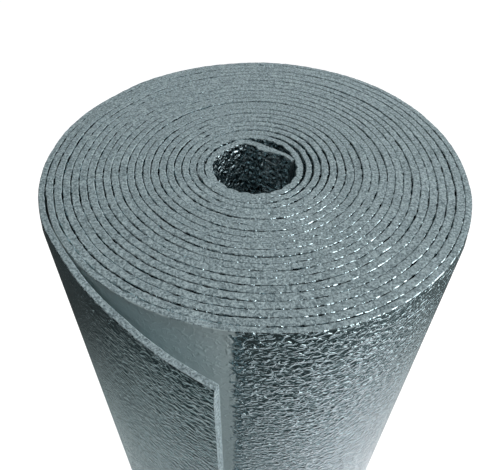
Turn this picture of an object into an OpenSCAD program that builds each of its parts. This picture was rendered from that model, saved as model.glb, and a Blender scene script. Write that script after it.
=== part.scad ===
// Roll of foil-faced foam insulation standing on end: one sheet wound on itself,
// with its loose tail lifting off the outside and its inner end folded in across the bore.

/* [Sheet] */
// Width of the sheet, which is the height of the standing roll
sheet_w = 1000; // [300:50:1500]
// Thickness of the sheet as it is wound
sheet_t = 4.6; // [2:0.1:10]

/* [Winding] */
// Radius of the bore where the winding starts
bore_r = 23; // [18:1:60]
// Whole turns in the wound pack, which has half a turn more up to its tail
turns = 21; // [3:1:30]
// Direction in which the tail leaves the pack, in degrees from +X
tail_dir = 205; // [0:5:355]

/* [Turns on the ends] */
// Width of the crevice between two turns at the end faces
crevice_w = 0.9; // [0.4:0.1:1.6]
// Depth of the crevice below the end faces
crevice_d = 3.5; // [1:0.5:10]

/* [Loose tail] */
// Length of the loose tail
tail_l = 140; // [40:5:220]
// How much the radius of the tail's curve exceeds that of the pack
tail_ease = 74; // [30:1:300]

/* [Inner end] */
// Angle of the fold, up to the straight tip that it ends in
fold_angle = 53; // [45:1:60]
// Radius on the inside of the fold
fold_r = 7; // [4:0.5:10]
// Gap between the tip and the turn that it points at
tip_gap = 1.5; // [1:0.5:4]
// Thickness of the tip, which is squeezed, as a share of the sheet's
tip_share = 0.95; // [0.9:0.01:0.98]

/* [Hidden] */
$fn = 128;

// A half turn whose number is even is centred on one side of the roll's axis, and one whose
// number is odd on the other, half a sheet's thickness apart. Each half turn then meets the
// next with a common tangent, and the winding grows by one sheet's thickness a turn.
function half_turn_r(n) = bore_r + n * sheet_t / 2;
function half_turn_x(n) = (n % 2 == 0 ? -1 : 1) * sheet_t / 4;

last = 2 * turns;
winding_dir = tail_dir - 180;
pack_r = half_turn_r(last) + sheet_t;

tail_r = pack_r + tail_ease;
tail_angle = tail_l / tail_r * 180 / PI;

// The innermost half turn lies on the winding for a quarter turn, then folds in. From the fold the
// sheet runs straight across the bore, and stops short of the turn that it points at.
fold_place = [half_turn_x(0), half_turn_r(0) - fold_r];
fold_out_r = fold_r + sheet_t;
tip_dir = 90 - fold_angle;
tip_across = [cos(tip_dir), sin(tip_dir)];
tip_heading = [sin(tip_dir), -cos(tip_dir)];
tip_root = fold_place + fold_out_r * tip_across - [half_turn_x(1), 0];
tip_limit_r = half_turn_r(1) - tip_gap;
tip_along = tip_root * tip_heading;
tip_l = sqrt(tip_along * tip_along - tip_root * tip_root + tip_limit_r * tip_limit_r) - tip_along;

// The squeezed tip starts inside the fold, no further back than the fold's faces cover it.
tip_squeeze = sheet_t * (1 - tip_share) / 2;
tip_run_in = sqrt(tip_squeeze * fold_out_r);

// Angle on radius a at which a sheet that leaves along the tangent, on radius b, is as far off
// as a crevice is wide.
function run_out(a, b) = sqrt(2 * crevice_w / abs(1 / a - 1 / b)) / a * 180 / PI;

foam_grey = [0.52, 0.57, 0.59];

// A ring of the sheet's width, from one radius to another, through part of a turn.
module ring(r_in, r_out, from, angle) {
    rotate_extrude(start = from, angle = angle)
        translate([r_in, 0])
            square([r_out - r_in, sheet_w]);
}

// The turns on one side of the winding's dividing plane, as one ring through part of a turn.
module wound(first, outer, from, angle) {
    translate([half_turn_x(first), 0])
        ring(half_turn_r(first), half_turn_r(outer) + sheet_t, from, angle);
}

// The sheet's inner end: its fold, and the straight tip across the bore.
module inner_end() {
    tip_faces = [fold_r + tip_squeeze, fold_out_r - tip_squeeze];
    tip_ends = [-tip_run_in, tip_l];
    corners = [[0, 0], [1, 0], [1, 1], [0, 1]];
    translate(fold_place) {
        ring(fold_r, fold_out_r, tip_dir, fold_angle);
        linear_extrude(sheet_w)
            polygon([for (c = corners) tip_faces[c[0]] * tip_across + tip_ends[c[1]] * tip_heading]);
    }
}

// The sheet's outer end, on a wider curve that leaves the pack along its tangent.
module tail() {
    translate([half_turn_x(last) + tail_ease, 0])
        ring(tail_r - sheet_t, tail_r, 180, tail_angle);
}

// The crevice under half turn n on one end, narrowing to its bottom edge.
module crevice(n, from, angle) {
    translate([half_turn_x(n), 0])
        rotate_extrude(start = from, angle = angle)
            translate([half_turn_r(n), 0])
                polygon([[-crevice_w / 2, 0], [crevice_w / 2, 0], [0, crevice_d]]);
}

// The spiral of crevices that shows the turns on an end face at height 0. It starts in the gap
// behind the fold and runs out in the gap under the tail.
module end_crevices() {
    fold_run = run_out(half_turn_r(2), fold_out_r);
    crevice(2, 90 - fold_run, 90 + fold_run);
    for (n = [3 : last]) crevice(n, n % 2 * 180, 180);
    crevice(last + 1, 180, run_out(half_turn_r(last + 1), tail_r - sheet_t));
}

module insulation_roll() {
    color(foam_grey)
        rotate(winding_dir)
            difference() {
                union() {
                    wound(0, last, 90, 90);
                    wound(2, last, 0, 90);
                    wound(1, last - 1, 180, 180);
                    inner_end();
                    tail();
                }
                end_crevices();
                translate([0, 0, sheet_w]) mirror([0, 0, 1]) end_crevices();
            }
}

insulation_roll();
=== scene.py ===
"""Roll of foil-faced foam insulation standing on end: one sheet of foam and foil, wound turn by turn."""

import math

import bpy
from mathutils import Matrix, Vector


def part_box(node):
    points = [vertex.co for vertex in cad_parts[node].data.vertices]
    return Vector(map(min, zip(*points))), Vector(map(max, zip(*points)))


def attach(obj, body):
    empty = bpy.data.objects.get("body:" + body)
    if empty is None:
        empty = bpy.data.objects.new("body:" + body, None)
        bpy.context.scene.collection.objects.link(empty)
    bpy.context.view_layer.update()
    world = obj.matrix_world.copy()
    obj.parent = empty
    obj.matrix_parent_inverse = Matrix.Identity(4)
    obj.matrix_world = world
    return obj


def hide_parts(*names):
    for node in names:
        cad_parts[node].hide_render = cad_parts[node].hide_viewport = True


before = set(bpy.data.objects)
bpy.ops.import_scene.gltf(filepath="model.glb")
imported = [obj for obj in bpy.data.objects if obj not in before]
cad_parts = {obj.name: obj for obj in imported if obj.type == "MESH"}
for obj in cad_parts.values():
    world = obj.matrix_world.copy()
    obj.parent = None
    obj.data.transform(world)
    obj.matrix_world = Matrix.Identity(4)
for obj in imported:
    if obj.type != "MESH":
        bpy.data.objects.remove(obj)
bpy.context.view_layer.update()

MM = 0.001
NODE = "insulation_roll"
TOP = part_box(NODE)[1].z

# The sheet and its winding, as the solid has them
PITCH = 4.6 * MM
BORE_R = 23 * MM
TURNS = 21
QUARTER_TURN = 0.25
TAIL_DIR = math.radians(205)
TAIL_LENGTH = 140 * MM
TAIL_EASE = 74 * MM
FOLD_R = 7 * MM
FOLD_ANGLE = math.radians(53)
TIP_LENGTH = 30 * MM

# The sheet's section, and the length of the steps in which it follows its path
EDGE_ROUNDING = 0.34 * MM
EDGE_DEPTH = 9 * MM
STEP = 1.3 * MM

# How far the inner turns lie to the left of the axis
BORE_DRIFT = 3.3 * MM

# How far the fold reaches past the tip, and the dull foil past each end of the tail
FOLD_REACH = 12 * MM
COVER_REACH = 8 * MM

# The power that keeps an effect to the inmost turns, and the corners of a face that isn't an end cap
INMOST_POWER = 8
QUAD_CORNERS = 4

# Noise: its middle, the range that it mostly fills, and shifts that set the two sides and ends apart
NOISE_MIDDLE = 0.5
NOISE_RANGE = (0.25, 0.75)
SIDE_SHIFT = 5.3
END_SHIFT = 9.1

# Foil: its ripples, the crumples of the bore with their worn lines, and the dull stretch
RIPPLE_LENGTH = 3.5 * MM
RIPPLE_WIDTH = 2.5 * MM
RIPPLE_RELIEF = 1.6 * MM
CREASE_SHARE = 0.6
CRUMPLE_SIZE = 4.6 * MM
WORN_LINE = (0.03, 0.08)
WORN_PARTS_PER_CRUMPLE = 1.3
WORN_PARTS = (0.48, 0.54)
WORN_ROUGHNESS = 0.5
FOIL_ROUGHNESS = 0.1
DULL_BORDER = (0.42, 0.58)
DULL_RIPPLES = 0.3
DULL_METAL = 0.05
DULL_ROUGHNESS = 0.6
FOIL_COLOUR = "#acbfc4"
DULL_COLOUR = "#b0c0c2"

# Foam: its grain, and its darkest and palest tone with the noise that each starts at
GRAIN_SIZE = 1.2 * MM
GRAIN_RELIEF = 0.7 * MM
FOAM_TONES = (("#516267", 0.38), ("#9eafb3", 0.64))
FOAM_ROUGHNESS = 0.7

# Floor: its size and colour, and the white glow that is mixed in where it is seen
FLOOR_R = 8
FLOOR_COLOUR = "#fafafa"
FLOOR_GLOW = 1.3
FLOOR_GLOW_SHARE = 0.7

# Card: a glowing card that only metal sees, painting the foil's reflections: its levels by distance from
# the axis, by distance from its pale place, and far to the right
CARD_R = 7.5
CARD_HEIGHT = 3 * MM
CARD_COLOUR = "#e8fbfc"
PALE_COLOUR = "#fafbff"
FOOT_REACH = (0.3, 0.85)
FOOT_LEVELS = (0.55, 0.05)
PALE_PLACE = (0.28, 0, 0)
PALE_REACH = (0.1, 0.78)
PALE_LEVELS = (1.16, 0.02)
FAR_REACH = (0.4, 1)
FAR_LEVELS = (0, 0.16)

# The sky's brightest direction and its levels, and each lamp's place, size, power and glint in metal
SKY_DIRECTION = (0.35, 0.55, 0.76)
SKY_FACING = (-0.1, 0.9)
SKY_LEVELS = (0.03, 0.6)
LAMPS = {
    "glint": ((1.25, -0.45, 1.45), 1.3, 18, True),
    "side": ((1.35, -0.2, 1.45), 1, 9, False),
    "back": ((0.6, 0.9, 1.55), 1, 11, False),
    "fill": ((0.6, -0.9, 2), 1, 1, False),
}

# The camera that fits the photograph
PHOTO_WIDTH = 500
FOCAL_PIXELS = 524.9
CAMERA_PITCH = math.radians(45.18)
CAMERA_YAW = math.radians(-0.55)
CAMERA_ROLL = math.radians(-1.22)
CAMERA_PLACE = (-2 * MM, -249 * MM, TOP + 188.5 * MM)
CAMERA_NEAREST = 10 * MM


def linear(hex_colour):
    """An sRGB hex colour as linear red, green, blue and alpha."""
    parts = [int(hex_colour[i:i + 2], 16) / 255 for i in (1, 3, 5)]
    return tuple(c / 12.92 if c <= 0.04045 else ((c + 0.055) / 1.055) ** 2.4 for c in parts) + (1,)


def add(tree, kind, inputs=None, **settings):
    """Adds a node with its settings. An input takes a value, a socket, or a node's first output."""
    made = tree.nodes.new(kind)
    for name, value in settings.items():
        setattr(made, name, value)
    for key, value in (inputs or {}).items():
        for item in value if isinstance(value, list) else [value]:
            if isinstance(item, bpy.types.Node):
                item = item.outputs[0]
            if isinstance(item, bpy.types.NodeSocket):
                tree.links.new(item, made.inputs[key])
            else:
                made.inputs[key].default_value = item
    return made


def foil_material():
    """Aluminium foil laminated to soft foam: bright metal, crinkled into short ripples round the roll."""
    material = bpy.data.materials.new("crinkled_aluminium_foil")
    material.use_nodes = True
    tree = material.node_tree
    shader = tree.nodes["Principled BSDF"]
    sheet = add(tree, "ShaderNodeUVMap", uv_map="sheet")
    place = add(tree, "ShaderNodeMapping", {
        "Vector": sheet, "Scale": (1 / RIPPLE_LENGTH, 1 / RIPPLE_WIDTH, 1)})
    ripples = add(tree, "ShaderNodeTexNoise", {
        "Vector": place, "Scale": 1, "Detail": 1.5, "Roughness": 0.5, "Distortion": 0.6},
        noise_dimensions="2D")
    offset = add(tree, "ShaderNodeMath", {0: ripples, 1: NOISE_MIDDLE}, operation="SUBTRACT")
    crease = add(tree, "ShaderNodeMath", {0: offset}, operation="ABSOLUTE")
    height = add(tree, "ShaderNodeMath", {0: crease, 1: CREASE_SHARE, 2: ripples}, operation="MULTIPLY_ADD")

    # The foil in the bore is crumpled too, and worn dull along parts of its creases
    place = add(tree, "ShaderNodeMapping", {
        "Vector": sheet, "Scale": (1 / CRUMPLE_SIZE, 1 / CRUMPLE_SIZE, 1)})
    crumples = add(tree, "ShaderNodeTexVoronoi", {"Vector": place, "Scale": 1},
                   voronoi_dimensions="2D", feature="DISTANCE_TO_EDGE").outputs["Distance"]
    crumpled = add(tree, "ShaderNodeAttribute", attribute_name="crumpled").outputs["Fac"]
    worn = add(tree, "ShaderNodeMapRange", {
        "Value": crumples, "From Min": WORN_LINE[0], "From Max": WORN_LINE[1], "To Min": 1, "To Max": 0})
    parts = add(tree, "ShaderNodeTexNoise", {
        "Vector": place, "Scale": WORN_PARTS_PER_CRUMPLE, "Detail": 0}, noise_dimensions="2D")
    parts = add(tree, "ShaderNodeMapRange", {
        "Value": parts, "From Min": WORN_PARTS[0], "From Max": WORN_PARTS[1]})
    worn = add(tree, "ShaderNodeMath", {0: worn, 1: parts}, operation="MULTIPLY")
    worn = add(tree, "ShaderNodeMath", {0: worn, 1: crumpled}, operation="MULTIPLY", use_clamp=True)
    crumples = add(tree, "ShaderNodeMath", {0: crumples, 1: crumpled}, operation="MULTIPLY")
    height = add(tree, "ShaderNodeMath", {0: height, 1: crumples}, operation="ADD")

    # Where the tail covered it the foil is flat and dull, with a ragged border
    covered = add(tree, "ShaderNodeAttribute", attribute_name="covered").outputs["Fac"]
    covered = add(tree, "ShaderNodeMath", {0: covered, 1: offset}, operation="ADD")
    dull = add(tree, "ShaderNodeMapRange", {
        "Value": covered, "From Min": DULL_BORDER[0], "From Max": DULL_BORDER[1]})
    ripple_share = add(tree, "ShaderNodeMapRange", {"Value": dull, "To Min": 1, "To Max": DULL_RIPPLES})
    height = add(tree, "ShaderNodeMath", {0: height, 1: ripple_share}, operation="MULTIPLY")
    bump = add(tree, "ShaderNodeBump", {"Height": height, "Distance": RIPPLE_RELIEF, "Strength": 1})
    metal = add(tree, "ShaderNodeMapRange", {"Value": dull, "To Min": 1, "To Max": DULL_METAL})
    rough = add(tree, "ShaderNodeMath", {
        0: worn, 1: WORN_ROUGHNESS, 2: FOIL_ROUGHNESS}, operation="MULTIPLY_ADD")
    rough = add(tree, "ShaderNodeMapRange", {"Value": dull, "To Min": rough, "To Max": DULL_ROUGHNESS})
    colour = add(tree, "ShaderNodeMix", {
        "Factor": dull, 6: linear(FOIL_COLOUR), 7: linear(DULL_COLOUR)}, data_type="RGBA")
    tree.links.new(colour.outputs[2], shader.inputs["Base Color"])
    tree.links.new(metal.outputs[0], shader.inputs["Metallic"])
    tree.links.new(rough.outputs[0], shader.inputs["Roughness"])
    tree.links.new(bump.outputs[0], shader.inputs["Normal"])
    return material


def foam_material():
    """Closed-cell polyethylene foam cut with a blade: matt grey, with a grain of opened cells."""
    material = bpy.data.materials.new("cut_polyethylene_foam")
    material.use_nodes = True
    tree = material.node_tree
    shader = tree.nodes["Principled BSDF"]

    # Real cells are too fine to show, so the grain is drawn as coarse as it needs to be
    place = add(tree, "ShaderNodeTexCoord").outputs["Object"]
    cells = add(tree, "ShaderNodeTexNoise", {
        "Vector": place, "Scale": 1 / GRAIN_SIZE, "Detail": 3, "Roughness": 0.7})
    tone = add(tree, "ShaderNodeValToRGB", {"Fac": cells})
    for stop, (colour, start) in zip(tone.color_ramp.elements, FOAM_TONES):
        stop.position = start
        stop.color = linear(colour)
    bump = add(tree, "ShaderNodeBump", {"Height": cells, "Distance": GRAIN_RELIEF, "Strength": 1})
    tree.links.new(tone.outputs[0], shader.inputs["Base Color"])
    tree.links.new(bump.outputs[0], shader.inputs["Normal"])
    shader.inputs["Roughness"].default_value = FOAM_ROUGHNESS
    return material


def sheet_section():
    """The sheet's section as a closed curve: a tall strip with eased edges and a row near each end."""
    half = PITCH / 2
    side = [(half - EDGE_ROUNDING, 0), (half, EDGE_ROUNDING), (half, EDGE_DEPTH)]
    side += [(x, TOP - z) for x, z in reversed(side)]
    points = side + [(-x, z) for x, z in reversed(side)]
    curve = bpy.data.curves.new("sheet_section", "CURVE")
    spline = curve.splines.new("POLY")
    spline.points.add(len(points) - 1)
    for point, (x, z) in zip(spline.points, reversed(points)):
        point.co = (x, -z, 0, 1)
    spline.use_cyclic_u = True
    section = bpy.data.objects.new("sheet_section", curve)
    bpy.context.scene.collection.objects.link(section)
    return section


def winding_path(tree, given):
    """The sheet's path in plan: tip, fold, spiral and tail, welded into one line from the bore outwards."""
    turns = add(tree, "GeometryNodeCurveSpiral", {
        "Resolution": 96, "Rotations": given["Turns"], "Start Radius": given["Inner radius"],
        "End Radius": given["Outer radius"], "Height": 0, "Reverse": True})
    turns = add(tree, "GeometryNodeTransform", {"Geometry": turns, "Rotation": (0, 0, math.pi / 2)})

    tail = add(tree, "GeometryNodeCurveArc", {
        "Resolution": 64, "Radius": given["Tail radius"], "Start Angle": math.pi,
        "Sweep Angle": given["Tail sweep"]}, mode="RADIUS")
    tail_x = add(tree, "ShaderNodeMath", {
        0: given["Tail radius"], 1: given["Outer radius"]}, operation="SUBTRACT")
    tail_place = add(tree, "ShaderNodeCombineXYZ", {"X": tail_x})
    tail = add(tree, "GeometryNodeTransform", {"Geometry": tail, "Translation": tail_place})

    tip_dir = add(tree, "ShaderNodeMath", {0: math.pi / 2, 1: given["Fold sweep"]}, operation="SUBTRACT")
    fold = add(tree, "GeometryNodeCurveArc", {
        "Resolution": 24, "Radius": given["Fold radius"], "Start Angle": tip_dir,
        "Sweep Angle": given["Fold sweep"]}, mode="RADIUS")
    tip_y = add(tree, "ShaderNodeMath", {0: 0, 1: given["Tip length"]}, operation="SUBTRACT")
    tip_start = add(tree, "ShaderNodeCombineXYZ", {"X": given["Fold radius"]})
    tip_end = add(tree, "ShaderNodeCombineXYZ", {"X": given["Fold radius"], "Y": tip_y})
    tip = add(tree, "GeometryNodeCurvePrimitiveLine", {"Start": tip_start, "End": tip_end}, mode="POINTS")
    tip_turn = add(tree, "ShaderNodeCombineXYZ", {"Z": tip_dir})
    tip = add(tree, "GeometryNodeTransform", {"Geometry": tip, "Rotation": tip_turn})
    inner = add(tree, "GeometryNodeJoinGeometry", {"Geometry": [fold, tip]})
    fold_y = add(tree, "ShaderNodeMath", {
        0: given["Inner radius"], 1: given["Fold radius"]}, operation="SUBTRACT")
    fold_place = add(tree, "ShaderNodeCombineXYZ", {"Y": fold_y})
    inner = add(tree, "GeometryNodeTransform", {"Geometry": inner, "Translation": fold_place})

    path = add(tree, "GeometryNodeJoinGeometry", {"Geometry": [tail, turns, inner]})
    path = add(tree, "GeometryNodeCurveToMesh", {"Curve": path})
    path = add(tree, "GeometryNodeMergeByDistance", {"Geometry": path, "Distance": given["Weld"]})
    path = add(tree, "GeometryNodeMeshToCurve", {"Mesh": path})
    path = add(tree, "GeometryNodeResampleCurve", {"Curve": path, "Length": given["Step"]}, mode="LENGTH")
    path_turn = add(tree, "ShaderNodeCombineXYZ", {"Z": given["Winding direction"]})
    return add(tree, "GeometryNodeTransform", {"Geometry": path, "Rotation": path_turn})


def pack_shift(tree, given, place, depth):
    """The pack isn't quite round, its inner turns lie a little off its axis, and every turn wanders."""
    plan = add(tree, "ShaderNodeSeparateXYZ", {"Vector": place}).outputs
    angle = add(tree, "ShaderNodeMath", {0: plan["Y"], 1: plan["X"]}, operation="ARCTAN2")
    lobes = add(tree, "ShaderNodeMath", {
        0: angle, 1: given["Lobes"], 2: given["Lobe turn"]}, operation="MULTIPLY_ADD")
    lobes = add(tree, "ShaderNodeMath", {0: lobes}, operation="COSINE")
    swell = add(tree, "ShaderNodeMath", {0: lobes, 1: given["Out of round"]}, operation="MULTIPLY")
    swell = add(tree, "ShaderNodeVectorMath", {0: place, "Scale": swell}, operation="SCALE")
    drift = add(tree, "ShaderNodeCombineXYZ", {"X": given["Bore drift"]})
    drift = add(tree, "ShaderNodeVectorMath", {0: drift, "Scale": depth}, operation="SCALE")
    wander = add(tree, "ShaderNodeTexNoise", {
        "Vector": place, "Scale": given["Wander waves per metre"], "Detail": 1}).outputs["Color"]
    wander = add(tree, "ShaderNodeVectorMath", {0: wander, 1: (NOISE_MIDDLE,) * 3}, operation="SUBTRACT")
    wander_size = add(tree, "ShaderNodeCombineXYZ", {"X": given["Wander"], "Y": given["Wander"]})
    wander = add(tree, "ShaderNodeVectorMath", {0: wander, 1: wander_size}, operation="MULTIPLY")
    shift = add(tree, "ShaderNodeVectorMath", {0: swell, 1: drift}, operation="ADD")
    return add(tree, "ShaderNodeVectorMath", {0: shift, 1: wander}, operation="ADD")


def inward_shift(tree, given, place, depth, along, from_outer_end):
    """The inner turns are pushed to the front, and the middle of the tail lies nearer to the pack."""
    outward = add(tree, "ShaderNodeVectorMath", {0: place}, operation="NORMALIZE")
    dent_dir = add(tree, "ShaderNodeVectorRotate", {
        "Vector": (1, 0, 0), "Angle": given["Dent direction"]}, rotation_type="Z_AXIS")
    facing = add(tree, "ShaderNodeVectorMath", {0: outward, 1: dent_dir}, operation="DOT_PRODUCT")
    dent = add(tree, "ShaderNodeMath", {
        0: facing.outputs["Value"], 1: given["Dent"]}, operation="MULTIPLY")
    inmost = add(tree, "ShaderNodeMath", {0: depth, 1: INMOST_POWER}, operation="POWER")
    dent = add(tree, "ShaderNodeMath", {0: dent, 1: inmost}, operation="MULTIPLY")
    wound = add(tree, "ShaderNodeMapRange", {
        "Value": along, "From Min": given["Tip length"], "From Max": given["Wound from"]},
        interpolation_type="SMOOTHSTEP")
    dent = add(tree, "ShaderNodeMath", {0: dent, 1: wound}, operation="MULTIPLY")
    tail_share = add(tree, "ShaderNodeMapRange", {
        "Value": from_outer_end, "From Min": 0, "From Max": given["Tail length"],
        "To Min": 0, "To Max": math.pi})
    tail_sag = add(tree, "ShaderNodeMath", {0: tail_share}, operation="SINE")
    inwards = add(tree, "ShaderNodeMath", {
        0: tail_sag, 1: given["Tail sag"], 2: dent}, operation="MULTIPLY_ADD")
    return add(tree, "ShaderNodeVectorMath", {0: outward, "Scale": inwards}, operation="SCALE")


def handled_path(tree, given, path):
    """The path as handling left it, with each point's distances, depth and direction across the sheet."""
    along = add(tree, "GeometryNodeSplineParameter").outputs["Length"]
    path = add(tree, "GeometryNodeStoreNamedAttribute", {
        "Geometry": path, "Name": "along", "Value": along}, data_type="FLOAT", domain="POINT")
    whole = add(tree, "GeometryNodeCurveLength", {"Curve": path})
    from_outer_end = add(tree, "ShaderNodeMath", {0: whole, 1: along}, operation="SUBTRACT")
    path = add(tree, "GeometryNodeStoreNamedAttribute", {
        "Geometry": path, "Name": "from_outer_end", "Value": from_outer_end},
        data_type="FLOAT", domain="POINT")
    place = add(tree, "GeometryNodeInputPosition")
    radius = add(tree, "ShaderNodeVectorMath", {0: place}, operation="LENGTH").outputs["Value"]
    depth = add(tree, "ShaderNodeMapRange", {
        "Value": radius, "From Min": given["Outer radius"], "From Max": given["Inner radius"]})
    path = add(tree, "GeometryNodeStoreNamedAttribute", {
        "Geometry": path, "Name": "depth", "Value": depth}, data_type="FLOAT", domain="POINT")

    shift = pack_shift(tree, given, place, depth)
    inwards = inward_shift(tree, given, place, depth, along, from_outer_end)
    shift = add(tree, "ShaderNodeVectorMath", {0: shift, 1: inwards}, operation="SUBTRACT")

    # The tip's end is bent to the front
    tip_bend = add(tree, "ShaderNodeMapRange", {
        "Value": along, "From Min": 0, "From Max": given["Tip bend length"], "To Min": 1, "To Max": 0})
    tip_bend = add(tree, "ShaderNodeMath", {0: tip_bend, 1: 2}, operation="POWER")
    tip_bend = add(tree, "ShaderNodeMath", {0: tip_bend, 1: given["Tip bend"]}, operation="MULTIPLY")
    tip_bend = add(tree, "ShaderNodeCombineXYZ", {"Y": tip_bend})
    shift = add(tree, "ShaderNodeVectorMath", {0: shift, 1: tip_bend}, operation="SUBTRACT")
    path = add(tree, "GeometryNodeSetPosition", {"Geometry": path, "Offset": shift})

    path = add(tree, "GeometryNodeSetCurveNormal", {"Curve": path}, mode="Z_UP")
    normal = add(tree, "GeometryNodeInputNormal")
    return add(tree, "GeometryNodeStoreNamedAttribute", {
        "Geometry": path, "Name": "across", "Value": normal}, data_type="FLOAT_VECTOR", domain="POINT")


def point_fields(tree, given):
    """What is known of each point of the sheet: where it lies along, across and up the sheet."""
    at = {}
    for name in ("along", "from_outer_end", "depth"):
        at[name] = add(tree, "GeometryNodeInputNamedAttribute", {"Name": name}, data_type="FLOAT")
    for name in ("across", "section"):
        at[name] = add(tree, "GeometryNodeInputNamedAttribute", {"Name": name}, data_type="FLOAT_VECTOR")
    section = add(tree, "ShaderNodeSeparateXYZ", {"Vector": at["section"]}).outputs
    at["side"] = add(tree, "ShaderNodeMath", {0: section["X"]}, operation="SIGN")
    at["outer_side"] = add(tree, "ShaderNodeMath", {0: at["side"], 1: 0}, operation="GREATER_THAN")
    at["inner_side"] = add(tree, "ShaderNodeMath", {0: at["side"], 1: 0}, operation="LESS_THAN")
    at["height"] = add(tree, "ShaderNodeMath", {0: section["Y"]}, operation="ABSOLUTE")
    from_top = add(tree, "ShaderNodeMath", {0: given["Sheet width"], 1: at["height"]}, operation="SUBTRACT")
    at["from_end"] = add(tree, "ShaderNodeMath", {0: at["height"], 1: from_top}, operation="MINIMUM")
    at["edge_share"] = add(tree, "ShaderNodeMapRange", {
        "Value": at["from_end"], "From Min": given["Edge rounding"], "From Max": given["Edge depth"],
        "To Min": 1, "To Max": 0})
    at["inmost"] = add(tree, "ShaderNodeMath", {0: at["depth"], 1: INMOST_POWER}, operation="POWER")

    # Marks that the blade left along the cut
    spot = add(tree, "ShaderNodeCombineXYZ", {"X": at["along"], "Y": at["side"], "Z": at["height"]})
    spot_scale = add(tree, "ShaderNodeCombineXYZ", {
        "X": given["Cut marks per metre"], "Y": SIDE_SHIFT, "Z": END_SHIFT})
    spot = add(tree, "ShaderNodeVectorMath", {0: spot, 1: spot_scale}, operation="MULTIPLY")
    at["cut_marks"] = add(tree, "ShaderNodeTexNoise", {"Vector": spot, "Scale": 1, "Detail": 1})

    # Waves of the gaps between the turns, by place in plan, so that both sides of a gap gape alike
    place = add(tree, "GeometryNodeInputPosition")
    plan = add(tree, "ShaderNodeVectorMath", {0: place, 1: (1, 1, 0)}, operation="MULTIPLY")
    radius = add(tree, "ShaderNodeVectorMath", {0: plan}, operation="LENGTH").outputs["Value"]
    at["outward"] = add(tree, "ShaderNodeVectorMath", {0: plan}, operation="NORMALIZE")
    heading = add(tree, "ShaderNodeSeparateXYZ", {"Vector": at["outward"]}).outputs
    at["to_right"] = heading["X"]
    angle = add(tree, "ShaderNodeMath", {0: heading["Y"], 1: heading["X"]}, operation="ARCTAN2")
    arc = add(tree, "ShaderNodeMath", {0: angle, 1: radius}, operation="MULTIPLY")
    spot = add(tree, "ShaderNodeCombineXYZ", {"X": arc, "Y": radius, "Z": at["height"]})
    spot_scale = add(tree, "ShaderNodeCombineXYZ", {
        "X": given["Gape waves per metre"], "Y": given["Gape seams per metre"], "Z": END_SHIFT})
    spot = add(tree, "ShaderNodeVectorMath", {0: spot, 1: spot_scale}, operation="MULTIPLY")
    at["gape_waves"] = add(tree, "ShaderNodeTexNoise", {
        "Vector": spot, "Scale": 1, "Detail": 3, "Roughness": 0.75})
    return at


def turn_gape(tree, given, at):
    """How far a face lies back from the next turn: hardly at all below, and unevenly at the edges."""
    slack = add(tree, "ShaderNodeCombineXYZ", {
        "X": given["Slack to the right"], "Y": given["Slack to the back"]})
    slack = add(tree, "ShaderNodeVectorMath", {0: at["outward"], 1: slack}, operation="DOT_PRODUCT")
    loose = add(tree, "ShaderNodeMath", {0: at["gape_waves"], 1: slack.outputs["Value"]}, operation="ADD")
    sideways = add(tree, "ShaderNodeMath", {0: at["to_right"], 1: 2}, operation="POWER")
    loose = add(tree, "ShaderNodeMath", {
        0: sideways, 1: given["Slack at the sides"], 2: loose}, operation="MULTIPLY_ADD")
    right = add(tree, "ShaderNodeMath", {0: at["to_right"], 1: 0}, operation="MAXIMUM")
    right = add(tree, "ShaderNodeMath", {0: right, 1: at["inmost"]}, operation="MULTIPLY")
    loose = add(tree, "ShaderNodeMath", {
        0: right, 1: given["Slack right of the bore"], 2: loose}, operation="MULTIPLY_ADD")
    most_gape = add(tree, "ShaderNodeMath", {
        0: at["inmost"], 1: given["Bore gape"], 2: given["Most gape"]}, operation="MULTIPLY_ADD")
    edge_gape = add(tree, "ShaderNodeMapRange", {
        "Value": loose, "From Min": given["Loose from"], "From Max": given["Loose to"],
        "To Min": given["Least gape"], "To Max": most_gape})
    gape = add(tree, "ShaderNodeMapRange", {
        "Value": at["from_end"], "From Min": given["Edge rounding"], "From Max": given["Edge depth"],
        "To Min": edge_gape, "To Max": given["Least gape"]})

    # The sheet takes up the gap that the drift of the inner turns opens at the right, and gives at the left
    drift_gap = add(tree, "ShaderNodeMath", {
        0: at["to_right"], 1: given["Drift gap"]}, operation="MULTIPLY")
    return add(tree, "ShaderNodeMath", {0: gape, 1: drift_gap}, operation="SUBTRACT")


def free_face_gape(tree, given, at, gape):
    """The gape, but even and leaning in a little at the edge where nothing lies on the sheet."""
    lean = add(tree, "ShaderNodeMath", {0: at["outer_side"], 1: given["Rim lean"]}, operation="MULTIPLY")
    lean = add(tree, "ShaderNodeMath", {
        0: lean, 1: at["edge_share"], 2: given["Least gape"]}, operation="MULTIPLY_ADD")
    free = add(tree, "ShaderNodeMath", {
        0: at["from_outer_end"], 1: given["Exposed foil"]}, operation="LESS_THAN")
    free = add(tree, "ShaderNodeMath", {0: free, 1: at["outer_side"]}, operation="MULTIPLY")
    on_tail = add(tree, "ShaderNodeMath", {
        0: at["from_outer_end"], 1: given["Tail length"]}, operation="LESS_THAN")
    free = add(tree, "ShaderNodeMath", {0: free, 1: on_tail}, operation="MAXIMUM")
    return add(tree, "ShaderNodeMix", {"Factor": free, "A": gape, "B": lean})


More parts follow.
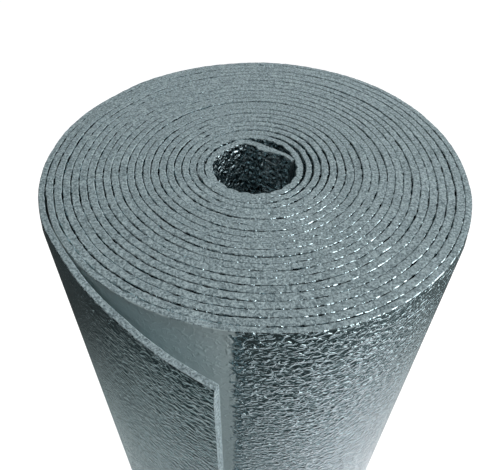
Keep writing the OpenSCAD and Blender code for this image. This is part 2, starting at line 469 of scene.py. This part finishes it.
def bore_gape(tree, given, at, gape):
    """The gape, with a bulge in the crease of the fold and the innermost edge pinched into scallops."""
    crease = add(tree, "ShaderNodeMapRange", {
        "Value": at["along"], "From Min": given["Crease from tip"],
        "From Max": given["Crease end from tip"], "To Min": given["Crease bulge"], "To Max": 0},
        interpolation_type="SMOOTHSTEP")
    ease = add(tree, "ShaderNodeMapRange", {
        "Value": at["along"], "From Min": given["Crease start from tip"],
        "From Max": given["Crease from tip"]})
    crease = add(tree, "ShaderNodeMath", {0: crease, 1: ease}, operation="MULTIPLY")
    crease = add(tree, "ShaderNodeMath", {0: crease, 1: at["inner_side"]}, operation="MULTIPLY")
    gape = add(tree, "ShaderNodeMath", {0: gape, 1: crease}, operation="SUBTRACT")

    pinch = add(tree, "ShaderNodeMath", {
        0: at["along"], 1: given["Scallops per metre"]}, operation="MULTIPLY")
    pinch = add(tree, "ShaderNodeMath", {
        0: at["gape_waves"], 1: given["Scallop unevenness"], 2: pinch}, operation="MULTIPLY_ADD")
    pinch = add(tree, "ShaderNodeMath", {0: pinch, 1: 1}, operation="PINGPONG")
    pinch = add(tree, "ShaderNodeMath", {0: pinch, 1: 2}, operation="POWER")
    pinch = add(tree, "ShaderNodeMath", {0: pinch, 1: 1 / 2}, operation="SUBTRACT")
    pinch = add(tree, "ShaderNodeMath", {0: pinch, 1: given["Scallops"]}, operation="MULTIPLY")
    pinch = add(tree, "ShaderNodeMath", {0: pinch, 1: at["edge_share"]}, operation="MULTIPLY")
    innermost = add(tree, "ShaderNodeMath", {
        0: at["along"], 1: given["Scallops end"]}, operation="LESS_THAN")
    past_fold = add(tree, "ShaderNodeMath", {
        0: at["along"], 1: given["Wound from"]}, operation="GREATER_THAN")
    innermost = add(tree, "ShaderNodeMath", {0: innermost, 1: past_fold}, operation="MULTIPLY")
    innermost = add(tree, "ShaderNodeMath", {0: innermost, 1: at["inner_side"]}, operation="MULTIPLY")
    return add(tree, "ShaderNodeMix", {"Factor": innermost, "A": gape, "B": pinch})


def end_shift(tree, given, at):
    """The edges lie a little inside the ends, more so towards the bore, and their cut is ragged."""
    spot = add(tree, "ShaderNodeCombineXYZ", {"X": at["along"], "Z": at["height"]})
    spot_scale = add(tree, "ShaderNodeCombineXYZ", {"X": given["Edge waves per metre"], "Z": END_SHIFT})
    spot = add(tree, "ShaderNodeVectorMath", {0: spot, 1: spot_scale}, operation="MULTIPLY")
    waves = add(tree, "ShaderNodeTexNoise", {"Vector": spot, "Scale": 1, "Detail": 2, "Roughness": 0.6})
    uneven = add(tree, "ShaderNodeMapRange", {
        "Value": waves, "From Min": NOISE_RANGE[0], "From Max": NOISE_RANGE[1],
        "To Min": 0, "To Max": given["Uneven edges"]})
    ragged = add(tree, "ShaderNodeMapRange", {
        "Value": at["cut_marks"], "From Min": NOISE_RANGE[0], "From Max": NOISE_RANGE[1],
        "To Min": 0, "To Max": given["Ragged cut"]})
    dish = add(tree, "ShaderNodeMath", {0: at["depth"], 1: 2}, operation="POWER")
    sunk = add(tree, "ShaderNodeMath", {0: dish, 1: given["Dish"], 2: uneven}, operation="MULTIPLY_ADD")
    sunk = add(tree, "ShaderNodeMath", {0: sunk, 1: ragged}, operation="ADD")
    end_share = add(tree, "ShaderNodeMapRange", {
        "Value": at["height"], "From Min": 0, "From Max": given["Sheet width"], "To Min": 1, "To Max": -1})
    sunk = add(tree, "ShaderNodeMath", {0: sunk, 1: end_share}, operation="MULTIPLY")
    return add(tree, "ShaderNodeCombineXYZ", {"Z": sunk})


def foil_attributes(tree, given, at, sheet):
    """Stores what the foil's material reads: its flat map, what the tail covered and how it is crumpled."""
    # Distance along the sheet and height, with the inner face a sheet's width away from the outer one
    face_height = add(tree, "ShaderNodeMath", {
        0: at["side"], 1: given["Sheet width"], 2: at["height"]}, operation="MULTIPLY_ADD")
    flat = add(tree, "ShaderNodeCombineXYZ", {"X": at["along"], "Y": face_height})
    sheet = add(tree, "GeometryNodeStoreNamedAttribute", {
        "Geometry": sheet, "Name": "sheet", "Value": flat}, data_type="FLOAT2", domain="CORNER")

    covered = add(tree, "ShaderNodeMath", {
        0: at["from_outer_end"], 1: given["Covered foil from outer end"]}, operation="SUBTRACT")
    covered = add(tree, "ShaderNodeMath", {0: covered}, operation="ABSOLUTE")
    border = add(tree, "ShaderNodeMath", {
        0: given["Covered foil half length"], 1: given["Covered foil border"]}, operation="SUBTRACT")
    covered = add(tree, "ShaderNodeMapRange", {
        "Value": covered, "From Min": border, "From Max": given["Covered foil half length"],
        "To Min": 1, "To Max": 0})
    sheet = add(tree, "GeometryNodeStoreNamedAttribute", {
        "Geometry": sheet, "Name": "covered", "Value": covered}, data_type="FLOAT", domain="POINT")
    crumpled = add(tree, "ShaderNodeMath", {
        0: at["inmost"], 1: given["Bore crumples"]}, operation="MULTIPLY")
    return add(tree, "GeometryNodeStoreNamedAttribute", {
        "Geometry": sheet, "Name": "crumpled", "Value": crumpled}, data_type="FLOAT", domain="POINT")


def bare_foam(tree, given, at):
    """Selects the cut edges and ends, apart from the eased edges that foil is dragged over in places."""
    foam_share = add(tree, "ShaderNodeMapRange", {
        "Value": at["cut_marks"], "From Min": given["Burrs from"], "From Max": given["Burrs to"],
        "To Min": given["Foam at a clean edge"], "To Max": given["Foam at a burr"]})
    inner_face = add(tree, "ShaderNodeMath", {0: 0, 1: at["side"]}, operation="SUBTRACT")
    foam_share = add(tree, "ShaderNodeMath", {0: foam_share, 1: inner_face}, operation="MAXIMUM")
    foam_depth = add(tree, "ShaderNodeMath", {
        0: foam_share, 1: given["Edge rounding"]}, operation="MULTIPLY")
    edge = add(tree, "FunctionNodeCompare", {"A": at["from_end"], "B": foam_depth}, operation="LESS_THAN")
    corners = add(tree, "GeometryNodeInputMeshFaceNeighbors").outputs["Vertex Count"]
    cap = add(tree, "FunctionNodeCompare", {"A": corners, "B": QUAD_CORNERS}, operation="GREATER_THAN")
    return add(tree, "FunctionNodeBooleanMath", {0: edge, 1: cap}, operation="OR")


def wound_sheet_tree(values):
    """Geometry Nodes tree that winds the sheet, loosens its turns and gives each face its material."""
    tree = bpy.data.node_groups.new("wound_sheet", "GeometryNodeTree")
    kinds = {bpy.types.Material: "NodeSocketMaterial", bpy.types.Object: "NodeSocketObject"}
    for name, value in values.items():
        kind = kinds.get(type(value), "NodeSocketFloat")
        tree.interface.new_socket(name, in_out="INPUT", socket_type=kind)
    tree.interface.new_socket("Sheet", in_out="OUTPUT", socket_type="NodeSocketGeometry")
    given = add(tree, "NodeGroupInput").outputs

    path = handled_path(tree, given, winding_path(tree, given))
    section = add(tree, "GeometryNodeObjectInfo", {"Object": given["Section"]}).outputs["Geometry"]
    place = add(tree, "GeometryNodeInputPosition")
    section = add(tree, "GeometryNodeStoreNamedAttribute", {
        "Geometry": section, "Name": "section", "Value": place}, data_type="FLOAT_VECTOR", domain="POINT")
    sheet = add(tree, "GeometryNodeCurveToMesh", {
        "Curve": path, "Profile Curve": section, "Fill Caps": True})

    at = point_fields(tree, given)
    gape = turn_gape(tree, given, at)
    gape = free_face_gape(tree, given, at, gape)
    gape = bore_gape(tree, given, at, gape)
    gape = add(tree, "ShaderNodeMath", {0: gape, 1: at["side"]}, operation="MULTIPLY")
    gape = add(tree, "ShaderNodeMath", {0: 0, 1: gape}, operation="SUBTRACT")
    gape = add(tree, "ShaderNodeVectorMath", {0: at["across"], "Scale": gape}, operation="SCALE")
    sunk = end_shift(tree, given, at)
    shift = add(tree, "ShaderNodeVectorMath", {0: gape, 1: sunk}, operation="ADD")
    sheet = add(tree, "GeometryNodeSetPosition", {"Geometry": sheet, "Offset": shift})
    sheet = foil_attributes(tree, given, at, sheet)

    bend = add(tree, "GeometryNodeInputMeshEdgeAngle").outputs["Unsigned Angle"]
    sharp = add(tree, "FunctionNodeCompare", {
        "A": bend, "B": given["Sharp angle"]}, operation="GREATER_THAN")
    sheet = add(tree, "GeometryNodeSetShadeSmooth", {
        "Geometry": sheet, "Selection": sharp, "Shade Smooth": False}, domain="EDGE")
    sheet = add(tree, "GeometryNodeRealizeInstances", {"Geometry": sheet})
    sheet = add(tree, "GeometryNodeSetMaterial", {"Geometry": sheet, "Material": given["Foil"]})
    bare = bare_foam(tree, given, at)
    sheet = add(tree, "GeometryNodeSetMaterial", {
        "Geometry": sheet, "Selection": bare, "Material": given["Foam"]})
    add(tree, "NodeGroupOutput", {"Sheet": sheet})
    return tree


def sheet_values(section):
    """The sheet's sizes, what handling did to it, and its materials, by the names of the tree's inputs."""
    tail_r = BORE_R + (TURNS + 1) * PITCH + TAIL_EASE
    inner_r = BORE_R + PITCH / 2
    outer_r = inner_r + PITCH * (TURNS + QUARTER_TURN)
    exposed = math.tau * outer_r + TAIL_LENGTH
    return {
        "Section": section, "Sheet width": TOP, "Edge rounding": EDGE_ROUNDING, "Edge depth": EDGE_DEPTH,
        "Inner radius": inner_r, "Outer radius": outer_r,
        "Turns": TURNS + QUARTER_TURN, "Winding direction": TAIL_DIR - math.pi,
        "Tail radius": tail_r - PITCH / 2, "Tail sweep": TAIL_LENGTH / tail_r, "Tail length": TAIL_LENGTH,
        "Tail sag": 2.2 * MM,
        "Fold radius": FOLD_R + PITCH / 2, "Fold sweep": FOLD_ANGLE, "Tip length": TIP_LENGTH,
        "Dent": 1.5 * MM, "Dent direction": math.radians(80), "Wound from": TIP_LENGTH + FOLD_REACH,
        "Crease bulge": 2.4 * MM, "Crease start from tip": 6 * MM, "Crease from tip": 21 * MM,
        "Crease end from tip": 25 * MM,
        "Step": STEP, "Weld": 0.05 * MM,
        "Lobes": 3, "Lobe turn": math.radians(-195), "Out of round": 0.008,
        "Bore drift": -BORE_DRIFT, "Drift gap": BORE_DRIFT * PITCH / (2 * (outer_r - BORE_R)),
        "Wander": 2.2 * MM, "Wander waves per metre": 1 / (45 * MM),
        "Least gape": 0.02 * MM, "Most gape": 0.42 * MM, "Bore gape": 0.5 * MM,
        "Gape waves per metre": 1 / (5.5 * MM), "Gape seams per metre": 1 / (3 * MM),
        "Loose from": 0.505, "Loose to": 0.665,
        "Slack to the right": -0.03, "Slack to the back": -0.025, "Slack at the sides": 0.06,
        "Slack right of the bore": 0.35,
        "Bore crumples": 1.25, "Scallops": 1.1 * MM, "Scallops per metre": 1 / (4.2 * MM),
        "Scallop unevenness": 1.5, "Scallops end": TIP_LENGTH + math.tau * inner_r,
        "Tip bend": 3 * MM, "Tip bend length": 6 * MM,
        "Uneven edges": 1.2 * MM, "Edge waves per metre": 1 / (160 * MM), "Dish": 2 * MM,
        "Ragged cut": 0.4 * MM, "Cut marks per metre": 1 / (4 * MM),
        "Burrs from": 0.43, "Burrs to": 0.47, "Foam at a clean edge": 0.75, "Foam at a burr": 0.25,
        "Exposed foil": exposed, "Rim lean": 0.95 * MM,
        "Covered foil from outer end": exposed - TAIL_LENGTH / 2,
        "Covered foil half length": TAIL_LENGTH / 2 + COVER_REACH, "Covered foil border": 12 * MM,
        "Sharp angle": math.radians(20),
        "Foil": foil_material(), "Foam": foam_material(),
    }


def insulation_roll():
    """The wound sheet as one plain mesh, in place of the solid."""
    section = sheet_section()
    values = sheet_values(section)
    tree = wound_sheet_tree(values)
    holder = bpy.data.objects.new("winding", bpy.data.meshes.new("winding"))
    bpy.context.scene.collection.objects.link(holder)
    modifier = holder.modifiers.new("wound_sheet", "NODES")
    modifier.node_group = tree
    for item in tree.interface.items_tree:
        if item.in_out == "INPUT":
            modifier[item.identifier] = values[item.name]
    mesh = bpy.data.meshes.new_from_object(holder.evaluated_get(bpy.context.evaluated_depsgraph_get()))
    for helper in (holder, section):
        bpy.data.objects.remove(helper)
    roll = bpy.data.objects.new("wound_sheet", mesh)
    bpy.context.scene.collection.objects.link(roll)
    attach(roll, "root")
    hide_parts(NODE)


def stage_disc(name, material, radius, height):
    """A round flat piece of the studio, not part of the object."""
    corners = 96
    points = [(radius * math.cos(a), radius * math.sin(a), height)
              for a in (math.tau * i / corners for i in range(corners))]
    mesh = bpy.data.meshes.new(name)
    mesh.from_pydata(points, [], [tuple(range(corners))])
    mesh.materials.append(material)
    made = bpy.data.objects.new(name, mesh)
    bpy.context.scene.collection.objects.link(made)
    return made


def floor():
    """Plain white floor. It shows white to the eye and in metal, and keeps the roll's shadow."""
    material = bpy.data.materials.new("white_floor")
    material.use_nodes = True
    tree = material.node_tree
    shader = tree.nodes["Principled BSDF"]
    shader.inputs["Base Color"].default_value = linear(FLOOR_COLOUR)
    shader.inputs["Roughness"].default_value = 1
    shader.inputs["Specular IOR Level"].default_value = 0
    white = add(tree, "ShaderNodeEmission", {"Color": linear("#ffffff"), "Strength": FLOOR_GLOW})
    ray = add(tree, "ShaderNodeLightPath").outputs
    seen = add(tree, "ShaderNodeMath", {
        0: ray["Is Camera Ray"], 1: ray["Is Glossy Ray"]}, operation="MAXIMUM")
    seen = add(tree, "ShaderNodeMath", {0: seen, 1: ray["Is Transmission Ray"]}, operation="MAXIMUM")
    share = add(tree, "ShaderNodeMath", {0: seen, 1: FLOOR_GLOW_SHARE}, operation="MULTIPLY")
    both = add(tree, "ShaderNodeMixShader", {0: share, 1: shader, 2: white})
    tree.links.new(both.outputs[0], tree.nodes["Material Output"].inputs["Surface"])
    stage_disc("floor", material, FLOOR_R, 0)


def reflection_card():
    """Glowing card on the floor that only metal sees: a painted reflection in the foil, dark before the
    roll and pale at its foot and right.
    """
    material = bpy.data.materials.new("painted_reflection_card")
    material.use_nodes = True
    tree = material.node_tree
    place = add(tree, "ShaderNodeTexCoord").outputs["Object"]
    reach = add(tree, "ShaderNodeVectorMath", {0: place}, operation="LENGTH").outputs["Value"]
    foot = add(tree, "ShaderNodeMapRange", {
        "Value": reach, "From Min": FOOT_REACH[0], "From Max": FOOT_REACH[1],
        "To Min": FOOT_LEVELS[0], "To Max": FOOT_LEVELS[1]}, interpolation_type="SMOOTHSTEP")
    reach = add(tree, "ShaderNodeVectorMath", {0: place, 1: PALE_PLACE}, operation="DISTANCE")
    pale = add(tree, "ShaderNodeMapRange", {
        "Value": reach.outputs["Value"], "From Min": PALE_REACH[0], "From Max": PALE_REACH[1],
        "To Min": PALE_LEVELS[0], "To Max": PALE_LEVELS[1]})
    level = add(tree, "ShaderNodeMath", {0: foot, 1: pale}, operation="MAXIMUM")
    reach = add(tree, "ShaderNodeSeparateXYZ", {"Vector": place}).outputs["X"]
    far = add(tree, "ShaderNodeMapRange", {
        "Value": reach, "From Min": FAR_REACH[0], "From Max": FAR_REACH[1],
        "To Min": FAR_LEVELS[0], "To Max": FAR_LEVELS[1]})
    level = add(tree, "ShaderNodeMath", {0: level, 1: far}, operation="MAXIMUM")
    colour = add(tree, "ShaderNodeMix", {
        "Factor": pale, 6: linear(CARD_COLOUR), 7: linear(PALE_COLOUR)}, data_type="RGBA")
    # The card gives off its own light instead of being lit, so what the foil shows of it is painted
    # reflection
    glow = add(tree, "ShaderNodeEmission", {"Color": colour.outputs[2], "Strength": level})
    tree.links.new(glow.outputs[0], tree.nodes["Material Output"].inputs["Surface"])
    card = stage_disc("reflection_card", material, CARD_R, CARD_HEIGHT)
    card.visible_camera = False
    card.visible_diffuse = False
    card.visible_transmission = False
    card.visible_shadow = False


def area_light(name, place, size, power, glints):
    """A soft lamp turned to the middle of the roll's upper end, which metal shows only if it glints."""
    lamp = bpy.data.lights.new(name, "AREA")
    lamp.size = size
    lamp.energy = power
    made = bpy.data.objects.new(name, lamp)
    made.location = place
    made.rotation_euler = (Vector((0, 0, TOP)) - Vector(place)).to_track_quat("-Z", "Y").to_euler()
    made.visible_camera = False
    made.visible_glossy = glints
    bpy.context.scene.collection.objects.link(made)


def lighting():
    """Soft light from above and behind, and lamps at the right, one of which glints in metal."""
    world = bpy.data.worlds.new("studio")
    world.use_nodes = True
    tree = world.node_tree
    ray = add(tree, "ShaderNodeTexCoord").outputs["Generated"]
    facing = add(tree, "ShaderNodeVectorMath", {0: ray, 1: SKY_DIRECTION}, operation="DOT_PRODUCT")
    level = add(tree, "ShaderNodeMapRange", {
        "Value": facing.outputs["Value"], "From Min": SKY_FACING[0], "From Max": SKY_FACING[1],
        "To Min": SKY_LEVELS[0], "To Max": SKY_LEVELS[1]})
    seen = add(tree, "ShaderNodeLightPath").outputs["Is Camera Ray"]
    level = add(tree, "ShaderNodeMath", {0: level, 1: seen}, operation="MAXIMUM")
    background = tree.nodes["Background"]
    background.inputs["Color"].default_value = linear("#ffffff")
    tree.links.new(level.outputs[0], background.inputs["Strength"])
    bpy.context.scene.world = world
    for name, (place, size, power, glints) in LAMPS.items():
        area_light(name, place, size, power, glints)


def camera():
    """The photograph's viewpoint, close above the roll and in front of it."""
    level = math.cos(CAMERA_PITCH)
    ahead = Vector((math.sin(CAMERA_YAW) * level, math.cos(CAMERA_YAW) * level, -math.sin(CAMERA_PITCH)))
    right = Vector((math.cos(CAMERA_YAW), -math.sin(CAMERA_YAW), 0))
    down = ahead.cross(right)
    leaning_right = math.cos(CAMERA_ROLL) * right + math.sin(CAMERA_ROLL) * down
    leaning_down = math.cos(CAMERA_ROLL) * down - math.sin(CAMERA_ROLL) * right
    lens = bpy.data.cameras.new("camera")
    lens.lens = FOCAL_PIXELS * lens.sensor_width / PHOTO_WIDTH
    lens.clip_start = CAMERA_NEAREST
    made = bpy.data.objects.new("camera", lens)
    turn = Matrix((leaning_right, -leaning_down, -ahead)).transposed().to_4x4()
    made.matrix_world = Matrix.Translation(CAMERA_PLACE) @ turn
    bpy.context.scene.collection.objects.link(made)
    bpy.context.scene.camera = made


insulation_roll()
floor()
reflection_card()
lighting()
camera()
bpy.context.scene.view_settings.view_transform = "Standard"
